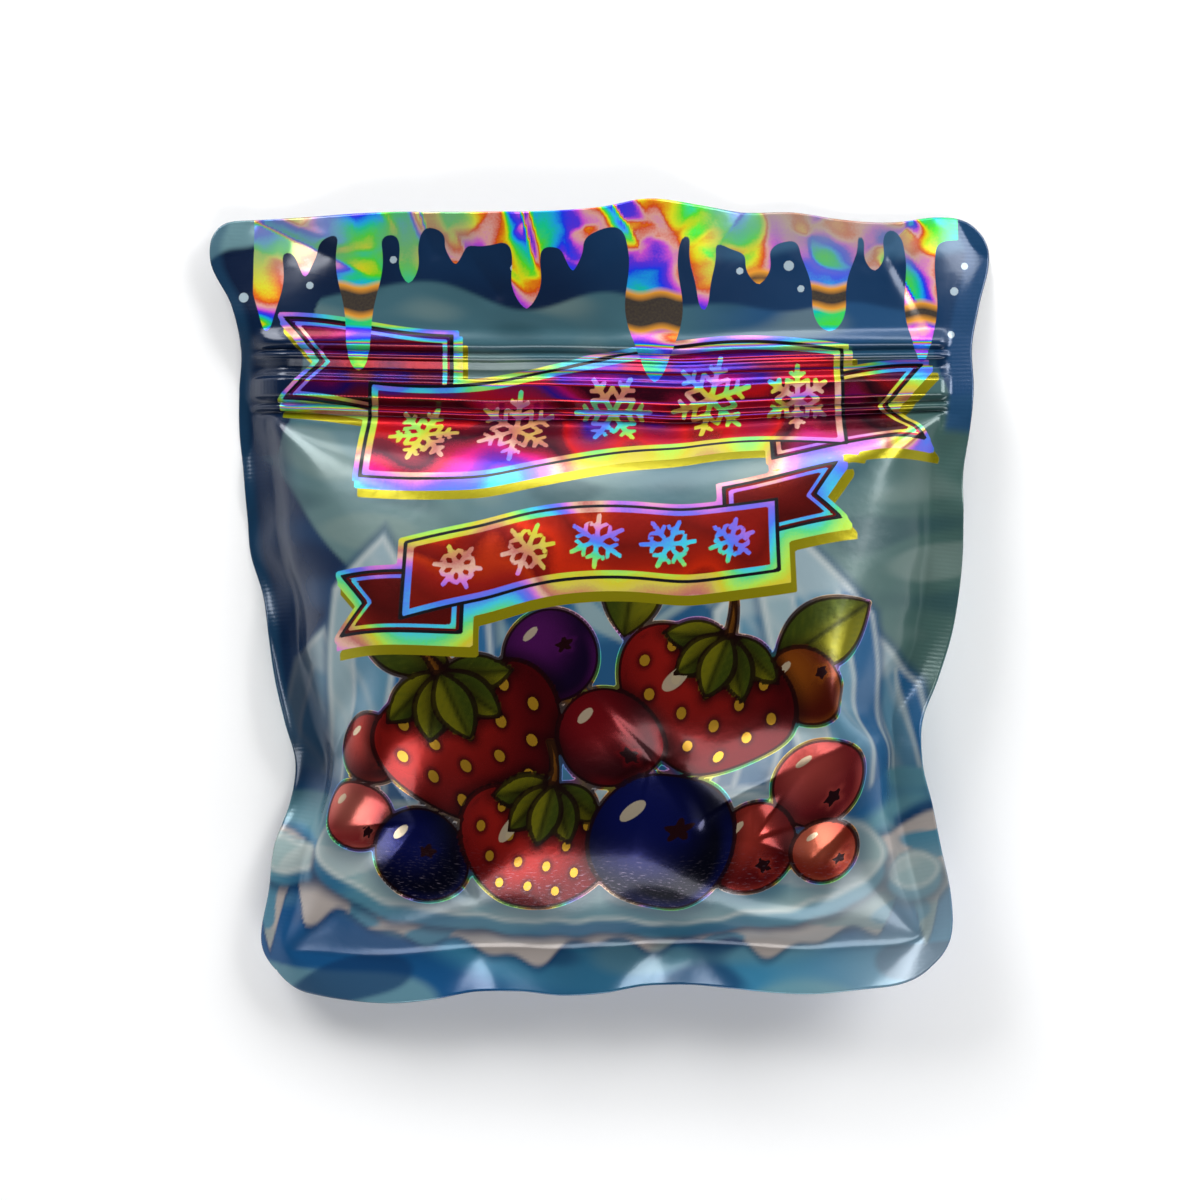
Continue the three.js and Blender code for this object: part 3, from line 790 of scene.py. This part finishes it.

# -------- printed holographic laminate
# PET film with a pressed holographic grating and a vapour-coated aluminium layer, printed in
# gravure and laminated: solid inks look satin, see-through inks glow like coloured foil, and
# bare foil breaks into hard rainbow patches with dull gaps between them.
# The foil's rainbow colours are painted reflection: they come from the stored phase, not from the lamps.
laminate = bpy.data.materials.new("printed holographic foil laminate")
laminate.use_nodes = True
tree = laminate.node_tree
tree.nodes.clear()


def add(kind, inputs=None, **settings):
    """Adds a node with its settings, and fills its inputs with values or other nodes' outputs."""
    made = tree.nodes.new("ShaderNode" + kind)
    for name, value in settings.items():
        setattr(made, name, value)
    for socket, value in (inputs or {}).items():
        if isinstance(value, bpy.types.NodeSocket):
            tree.links.new(value, made.inputs[socket])
        else:
            made.inputs[socket].default_value = value
    return made


def rgba(code):
    """sRGB hex colour to opaque linear light."""
    return (*linear(code), 1)


def drawn(name, kind="Fac"):
    """A stored field of the print, or its stored Color or Vector."""
    return add("Attribute", attribute_name=name).outputs[kind]


def inside(field, limit=0.0, softness=0.1):
    """Full where the field is under a limit in mm, cut off over a hair's breadth of ink."""
    return add("MapRange", {0: field, 1: limit + softness / 2, 2: limit - softness / 2}).outputs[0]


def both(first, second):
    """Share that lies inside both: the product of two shares, or of a share and a number."""
    return add("Math", {0: first, 1: second}, operation="MULTIPLY").outputs[0]


def laid(under, over, share):
    """Colour or hex ink over another one, by a share from 0 to 1."""
    under, over = (rgba(ink) if isinstance(ink, str) else ink for ink in (under, over))
    return add("Mix", {0: share, 6: under, 7: over}, data_type="RGBA").outputs[2]


def foil_colours(stops):
    """Colours of a foil round one turn of its phase, from (place, hex) pairs."""
    node = add("ValToRGB", {0: turn.outputs[0]})
    ramp = node.color_ramp
    for place, code in stops[1:-1]:
        ramp.elements.new(place)
    for element, (place, code) in zip(ramp.elements, stops):
        element.position = place
        element.color = rgba(code)
    return node.outputs[0]


blank_place = drawn("blank", "Vector")
grain = add("TexNoise", {"Vector": blank_place, "Scale": 2.6, "Detail": 2.0})
stretched = add("Mapping", {"Vector": blank_place, "Scale": (0.12, 1.6, 1)})
streaks = add("TexNoise", {"Vector": stretched.outputs[0], "Scale": 1.0, "Detail": 1.5})
shaken = add("Math", {0: grain.outputs[0], 1: 0.07, 2: drawn("phase")},
             operation="MULTIPLY_ADD")
shaken = add("Math", {0: streaks.outputs[0], 1: 0.02, 2: shaken.outputs[0]}, operation="MULTIPLY_ADD")
turn = add("Math", {0: shaken.outputs[0]}, operation="FRACT")
# Painted reflection: each ramp turns the stored phase into the colours that the grating would send back.
rainbow = foil_colours([(0.0, "#d94e16"), (0.06, "#e88e10"), (0.14, "#e2e01a"), (0.27, "#4edc28"),
                        (0.40, "#16cc90"), (0.50, "#1ea8ea"), (0.61, "#1a3cf0"), (0.72, "#5a34e0"),
                        (0.82, "#d052d4"), (0.92, "#e0a49a"), (1.0, "#d94e16")])
pastel = foil_colours([(0.0, "#8a8a92"), (0.12, "#9c8478"), (0.2, "#f0a040"), (0.28, "#f2ee6a"),
                       (0.4, "#86e878"), (0.5, "#5ce8d4"), (0.6, "#70a8f0"), (0.7, "#9a90e8"),
                       (0.8, "#e29ad8"), (0.9, "#e8c49a"), (1.0, "#8a8a92")])
magenta = foil_colours([(0.0, "#3d0a20"), (0.15, "#7a1228"), (0.24, "#e0161e"), (0.36, "#c4163c"),
                        (0.5, "#8c1e54"), (0.62, "#3c1ca8"), (0.72, "#7a1494"), (0.82, "#d4127c"),
                        (0.9, "#a8143c"), (1.0, "#3d0a20")])
red = foil_colours([(0.0, "#8c1610"), (0.15, "#a51c0e"), (0.24, "#ee3410"), (0.36, "#c42812"),
                    (0.6, "#8e1c14"), (0.78, "#b8241a"), (0.9, "#d83a12"), (1.0, "#8c1610")])
dull_field = drawn("dull")
washed = laid(rainbow, "#82978a", drawn("wash"))
rusty = laid(washed, "#f0a238", inside(dull_field, 0.5, 0.9))
dull_foil = laid("#544b38", "#2c2632", grain.outputs[0])
bare_foil = laid(rusty, dull_foil, inside(dull_field, -0.4, 1.1))
vivid = laid(pastel, rainbow, 0.55)
ribbon_ink = laid(magenta, red, drawn("lower_share"))
dark_ink = laid(ribbon_ink, "#12040c", 0.6)

# Each ink with its finish: metal under it, roughness
SOLID_INK = (0.16, 0.24)
CLEAR_INK = (0.68, 0.22)
BARE_FOIL = (0.3, 0.22)
fruit_field, panel_field, tails_field = (drawn(name) for name in ("fruit", "panel", "tails"))
on_fruit = inside(fruit_field)
on_lines = both(inside(drawn("ink_lines")), 0.85)
on_glints = both(inside(drawn("glints")), 0.8)
tail_line = add("Math", {0: tails_field}, operation="ABSOLUTE").outputs[0]
tail_inset = add("Math", {0: tails_field, 1: 0.85}, operation="ADD").outputs[0]
tail_rim = add("Math", {0: tail_inset}, operation="ABSOLUTE").outputs[0]
# The film rubs in its carton where it stands proud, which leaves short pale scratches.
rubbed = add("Mapping", {"Vector": blank_place, "Scale": (0.9, 4.2, 1), "Rotation": (0, 0, 0.25)})
scratches = add("TexNoise", {"Vector": rubbed.outputs[0], "Scale": 1.1, "Detail": 3.0})
scratched = add("MapRange", {0: scratches.outputs[0], 1: 0.58, 2: 0.74, 3: 0.0, 4: 0.4}).outputs[0]
place = add("SeparateXYZ", {0: blank_place})
RUB_FROM = -37.0
RUB_FULL = -43.0
low_down = add("MapRange", {0: place.outputs["Y"], 1: RUB_FROM, 2: RUB_FULL}).outputs[0]
on_scratches = both(both(scratched, low_down), on_fruit)

# Inks in the order of printing: where, colour, finish
layers = [(inside(fruit_field, 0.4), pastel, BARE_FOIL),
          (on_fruit, drawn("fruit_colour", "Color"), CLEAR_INK),
          (inside(drawn("seeds")), "#b98a22", CLEAR_INK),
          (inside(drawn("eyes")), "#26090f", CLEAR_INK),
          (on_lines, "#1c0508", CLEAR_INK),
          (on_glints, "#d9c8a8", CLEAR_INK),
          (inside(drawn("snow_dots")), "#9fb0ba", SOLID_INK),
          (on_scratches, "#a597ab", CLEAR_INK),
          (inside(drawn("shade")), "#a89e14", CLEAR_INK),
          (inside(drawn("halo")), vivid, BARE_FOIL),
          (inside(tails_field), dark_ink, CLEAR_INK),
          (inside(tail_rim, 0.28), vivid, BARE_FOIL),
          (inside(tail_line, 0.25), "#0a0a12", SOLID_INK),
          (inside(panel_field, 0.25), "#0a0a12", SOLID_INK),
          (inside(panel_field, -0.25), vivid, BARE_FOIL),
          (inside(panel_field, -1.05), ribbon_ink, CLEAR_INK),
          (inside(drawn("stars")), vivid, BARE_FOIL),
          (inside(drawn("icicles")), bare_foil, BARE_FOIL)]
colour = drawn("ground", "Color")
finish = (*SOLID_INK, 0, 1)
for where, ink, surface in layers:
    colour = laid(colour, ink, where)
    finish = laid(finish, (*surface, 0, 1), where)

split = add("SeparateXYZ", {0: finish})
# The heated bars leave fine level ribs on the seals, 0.4 mm apart on the real one and drawn
# at 0.65 mm to show, and the zip's slider teeth leave upright ones on its track.
SEAL_RIB = 0.65
TOOTH = 0.6
TRACK_LOW = 33.1
TRACK_HIGH = 35.9
TRACK_SOFT = 0.3
rib_wave = add("Math", {0: both(place.outputs["Y"], 2 * np.pi / SEAL_RIB)}, operation="SINE")
on_seal = inside(drawn("edge_distance"), SIDE_SEAL - 0.3, 0.6)
tooth_wave = add("Math", {0: both(place.outputs["X"], 2 * np.pi / TOOTH)}, operation="SINE")
level = place.outputs["Y"]
above_foot = add("MapRange", {0: level, 1: TRACK_LOW - TRACK_SOFT, 2: TRACK_LOW + TRACK_SOFT})
below_top = add("MapRange", {0: level, 1: TRACK_HIGH + TRACK_SOFT, 2: TRACK_HIGH - TRACK_SOFT})
on_track = both(above_foot.outputs[0], below_top.outputs[0])
ribs, teeth = both(rib_wave.outputs[0], on_seal), both(tooth_wave.outputs[0], on_track)
relief = add("Math", {0: ribs, 1: teeth}, operation="ADD")
RIB_DEPTH = 0.004 * MM
relief_bump = add("Bump", {"Strength": 1.0, "Distance": RIB_DEPTH, "Height": relief.outputs[0]})
soft_skin = add("TexNoise", {"Vector": blank_place, "Scale": 0.55, "Detail": 2.0})
skin_bump = add("Bump", {"Strength": 0.5, "Distance": 0.06 * MM, "Height": soft_skin.outputs[0],
                         "Normal": relief_bump.outputs[0]})
rough_grain = add("Math", {0: grain.outputs[0], 1: 0.025, 2: split.outputs[1]}, operation="MULTIPLY_ADD")
shader = add("BsdfPrincipled", {"Base Color": colour, "Metallic": split.outputs[0],
                                "Roughness": rough_grain.outputs[0], "Normal": skin_bump.outputs[0],
                                "Coat Weight": 0.2, "Coat Roughness": 0.12})
add("OutputMaterial", {"Surface": shader.outputs[0]})
mesh.materials.append(laminate)

# -------- floor, light and camera
# White paper lies under the pouch. Two square soft boxes and a long one stand beyond the header
# and a weak one at the foot. The camera looks straight down from above the middle.
bpy.ops.mesh.primitive_plane_add(size=4)
floor = bpy.context.object
floor.name = "floor"
paper = bpy.data.materials.new("paper floor")
paper.use_nodes = True
PAPER_WHITE = (0.96, 0.96, 0.96, 1)
tree = paper.node_tree
paper_shader = tree.nodes["Principled BSDF"]
paper_shader.inputs["Base Color"].default_value = PAPER_WHITE
# Far out, where the lamps don't reach, the paper glows: painted light from its own emission keeps it pale.
GLOW_FROM = 0.25
GLOW_FULL = 1.2
GLOW = 0.75
paper_shader.inputs["Emission Color"].default_value = PAPER_WHITE
away = add("VectorMath", {0: add("TexCoord").outputs["Object"]}, operation="LENGTH")
glow = add("MapRange", {0: away.outputs["Value"], 1: GLOW_FROM, 2: GLOW_FULL, 3: 0.0, 4: GLOW})
tree.links.new(glow.outputs[0], paper_shader.inputs["Emission Strength"])
paper.cycles.emission_sampling = "NONE"
floor.data.materials.append(paper)

# The room is bright low down and dark overhead, so level foil stays deep and slopes light up.
world = bpy.data.worlds.new("studio")
bpy.context.scene.world = world
world.use_nodes = True
tree = world.node_tree
sky = tree.nodes["Background"]
sky.inputs[0].default_value = (0.85, 0.88, 0.92, 1)
heading = add("SeparateXYZ", {0: add("TexCoord").outputs["Generated"]})
room_light = add("MapRange", {0: heading.outputs[2], 1: 0.0, 2: 0.8, 3: 0.9, 4: 0.03},
                 interpolation_type="SMOOTHSTEP")
# Behind the floor stands a plain pale backdrop.
backdrop = add("MapRange", {0: add("LightPath").outputs["Is Camera Ray"], 3: room_light.outputs[0], 4: 1.0})
tree.links.new(backdrop.outputs[0], sky.inputs[1])


def soft_box(name, place, size, power):
    """Rectangular lamp that faces the pouch: place and size in metres, power in watts."""
    light = bpy.data.lights.new(name, "AREA")
    light.shape = "RECTANGLE"
    light.size, light.size_y = size
    light.energy = power
    lamp = bpy.data.objects.new(name, light)
    lamp.location = place
    lamp.rotation_euler = (Vector((0, 0, 0)) - Vector(place)).to_track_quat("-Z", "Y").to_euler()
    bpy.context.scene.collection.objects.link(lamp)


soft_box("left box", (-0.46, 0.58, 0.5), (0.42, 0.42), 4.6)
soft_box("right box", (0.6, 0.44, 0.48), (0.44, 0.44), 4.9)
soft_box("strip box", (0, 0.85, 0.4), (1.3, 0.2), 4.2)
soft_box("low box", (0.1, -0.65, 0.55), (0.5, 0.4), 3.0)

# The frame is this wide at the height of the pouch's rim.
FRAME_MM = 194.2
CAMERA_HEIGHT = 0.62
RIM_HEIGHT = 0.006
camera_data = bpy.data.cameras.new("camera")
camera = bpy.data.objects.new("camera", camera_data)
bpy.context.scene.collection.objects.link(camera)
bpy.context.scene.camera = camera
camera.location = (0, 0, CAMERA_HEIGHT)
camera_data.sensor_width = 36
camera_data.lens = 36 * (CAMERA_HEIGHT - RIM_HEIGHT) / (FRAME_MM * MM)
bpy.context.scene.view_settings.view_transform = "Standard"
